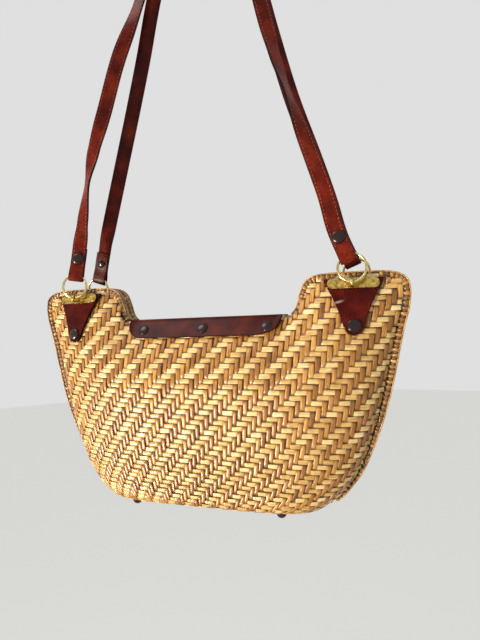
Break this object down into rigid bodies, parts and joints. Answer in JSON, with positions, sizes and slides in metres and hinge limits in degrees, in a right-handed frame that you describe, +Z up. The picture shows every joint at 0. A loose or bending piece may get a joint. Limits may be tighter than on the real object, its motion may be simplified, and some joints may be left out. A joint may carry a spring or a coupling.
{
  "type": "straw basket shoulder bag",
  "caption": "Woven straw shoulder bag with raised ears, rolled edges, leather-bound mouth, leather tabs, rings and long straps hanging from one hook.",
  "frame": {"origin": "the hanging point: underside of both straps where they cross one hook, on the middle plane of the bag", "axes": "+Z up, +X across the bag's width to the viewer's right, +Y to the back; the front face of the bag faces -Y"},
  "size_m": [0.32, 0.066, 0.5849],
  "materials": {
    "straw": "natural split palm straw in a twill weave, golden and cream, slightly shiny",
    "straw_edge": "rolled straw edge whipped over with narrow straw, matt",
    "leather": "smooth oxblood red leather, dark cut edges, semi-gloss",
    "brass": "pale aged brass, satin with bright worn lips",
    "dark_metal": "black-brown lacquered domed rivets and feet, glossy"
  },
  "bodies": {
    "root": {"basket_shell": "straw", "edge_roll_front_left": "straw_edge", "edge_roll_front_right": "straw_edge", "edge_roll_back_left": "straw_edge", "edge_roll_back_right": "straw_edge", "mouth_binding_front": "leather", "mouth_binding_back": "leather", "binding_rivet_front_1": "dark_metal", "binding_rivet_front_2": "dark_metal", "binding_rivet_front_3": "dark_metal", "binding_rivet_back_1": "dark_metal", "binding_rivet_back_2": "dark_metal", "binding_rivet_back_3": "dark_metal", "leather_tab_front_left": "leather", "leather_tab_front_right": "leather", "leather_tab_back_left": "leather", "leather_tab_back_right": "leather", "brass_plate_front_left": "brass", "brass_plate_front_right": "brass", "brass_plate_back_left": "brass", "brass_plate_back_right": "brass", "ring_front_left": "brass", "ring_front_right": "brass", "ring_back_left": "brass", "ring_back_right": "brass", "tab_rivet_front_left": "dark_metal", "tab_rivet_front_right": "dark_metal", "tab_rivet_back_left": "dark_metal", "tab_rivet_back_right": "dark_metal", "strap_front": "leather", "strap_back": "leather", "strap_rivet_front_left": "dark_metal", "strap_rivet_front_right": "dark_metal", "strap_rivet_back_left": "dark_metal", "strap_rivet_back_right": "dark_metal", "foot_front_left": "dark_metal", "foot_front_right": "dark_metal", "foot_back_left": "dark_metal", "foot_back_right": "dark_metal"}
  },
  "joints": []
}
